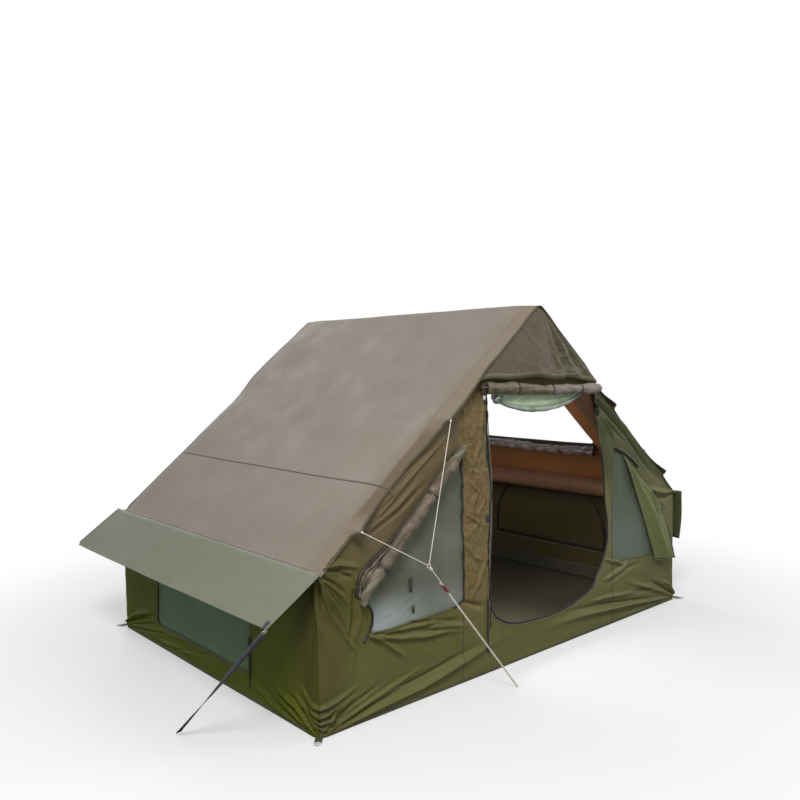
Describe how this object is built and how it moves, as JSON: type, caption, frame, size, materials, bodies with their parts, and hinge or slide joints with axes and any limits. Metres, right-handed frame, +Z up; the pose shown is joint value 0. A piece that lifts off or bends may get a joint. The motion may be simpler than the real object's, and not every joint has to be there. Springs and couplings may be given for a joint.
{
  "type": "inflatable tent",
  "caption": "House-shaped cloth cabin tent on an inflated air frame, with a rolled-up door, net windows, an open roof light, eave flaps and a guy line",
  "frame": {"origin": "centre of the footprint, on the ground under the floor", "axes": "+X across the gable, towards the side with the open roof light; +Y along the ridge, from the open doorway to the rear; +Z up"},
  "size_m": [3.4771, 2.3754, 1.9683],
  "materials": {
    "roof_cloth": "woven polyester, coated, semi-matt",
    "wall_cloth": "woven polyester, coated, semi-matt",
    "flap_cloth": "woven polyester, coated, semi-matt",
    "net": "fine insect mesh",
    "tub_cloth": "coated groundsheet cloth, slightly glossy",
    "lining": "sleeve cloth over an air tube",
    "rolled_cloth": "rolled polyester cloth",
    "zip": "nylon coil zip and cord",
    "webbing": "woven webbing",
    "rope": "braided cord",
    "red_plastic": "moulded",
    "metal": "plain",
    "valve_plastic": "moulded"
  },
  "bodies": {
    "tent": {"arch_window_cover": "wall_cloth", "door_net_swag": "net", "door_roll": "rolled_cloth", "door_roll_tie_1": "zip", "door_roll_tie_2": "zip", "door_roll_tie_3": "zip", "door_zip": "zip", "floor_tub": "tub_cloth", "front_air_arch": "lining", "front_gable": "wall_cloth", "front_hood": "wall_cloth", "front_net_left": "net", "front_net_right": "net", "front_pillar_left": "wall_cloth", "front_pillar_right": "wall_cloth", "front_wall_left": "wall_cloth", "front_wall_right": "wall_cloth", "front_wall_sill": "wall_cloth", "guy_lower_leg": "rope", "guy_main": "rope", "guy_ring": "rope", "guy_upper_leg": "rope", "inflation_valve": "valve_plastic", "left_eave_air_beam": "lining", "left_wall": "wall_cloth", "peg_loop_front_left": "webbing", "peg_loop_front_right": "webbing", "peg_loop_rear_left": "webbing", "peg_loop_rear_right": "webbing", "rear_air_arch": "lining", "rear_door": "wall_cloth", "rear_hood": "wall_cloth", "rear_wall": "wall_cloth", "ridge_air_beam": "lining", "right_eave_air_beam": "lining", "right_wall": "wall_cloth", "roof_left_lower": "roof_cloth", "roof_left_upper": "roof_cloth", "roof_right_front": "roof_cloth", "roof_right_lower": "roof_cloth", "roof_right_rear": "roof_cloth", "roof_right_upper": "roof_cloth", "side_net": "net", "skylight_flap_roll": "rolled_cloth", "window_cover_roll": "rolled_cloth", "window_cover_tie_1": "zip", "window_cover_tie_2": "zip"},
    "left_flap": {"left_eave_flap": "flap_cloth", "flap_strap_ring": "metal"},
    "strap": {"flap_strap": "webbing"},
    "right_flap": {"right_eave_flap": "flap_cloth"},
    "loose_cover": {"window_cover": "wall_cloth"},
    "left_door_slider": {"door_slider_left": "zip"},
    "right_door_slider": {"door_slider_right": "zip"},
    "side_slider": {"side_window_slider": "zip"},
    "rear_slider": {"rear_door_slider": "zip"},
    "line_tensioner": {"tensioner": "red_plastic"},
    "cap": {"valve_cap": "valve_plastic"}
  },
  "joints": [
    {"name": "left_eave_flap_hinge", "type": "hinge", "parent": "tent", "child": "left_flap", "pos_m": [-1.5003, 0, 0.745], "axis": [0, 1, 0], "range_deg": [-50, 28]},
    {"name": "flap_strap_swing", "type": "hinge", "parent": "left_flap", "child": "strap", "pos_m": [-1.77458, -1.06827, 0.5552], "axis": [0, 1, 0], "range_deg": [-77, 136]},
    {"name": "right_eave_flap_hinge", "type": "hinge", "parent": "tent", "child": "right_flap", "pos_m": [1.5003, 0, 0.745], "axis": [0, -1, 0], "range_deg": [0, 90]},
    {"name": "window_cover_hinge", "type": "hinge", "parent": "tent", "child": "loose_cover", "pos_m": [0.85, -1.0533, 1.05], "axis": [-0.764, 0, 0.6452], "range_deg": [0, 100]},
    {"name": "door_slider_left_travel", "type": "slide", "parent": "tent", "child": "left_door_slider", "axis": [0, 0, 1], "range_m": [0, 0.95]},
    {"name": "door_slider_right_travel", "type": "slide", "parent": "tent", "child": "right_door_slider", "axis": [-0.18, 0, 0.9837], "range_m": [0, 0.75]},
    {"name": "side_window_slider_travel", "type": "slide", "parent": "tent", "child": "side_slider", "axis": [0, 0, 1], "range_m": [0, 0.25]},
    {"name": "rear_door_slider_travel", "type": "slide", "parent": "tent", "child": "rear_slider", "axis": [0, 0, 1], "range_m": [0, 0.95]},
    {"name": "tensioner_travel", "type": "slide", "parent": "tent", "child": "line_tensioner", "axis": [0.5851, -0.1286, -0.8007], "range_m": [0, 0.5]},
    {"name": "valve_cap_lift", "type": "slide", "parent": "tent", "child": "cap", "axis": [1, 0, 0], "range_m": [0, 0.03]}
  ],
  "couplings": [
    {"joint": "flap_strap_swing", "follows": "left_eave_flap_hinge", "ratio": -2.69}
  ]
}
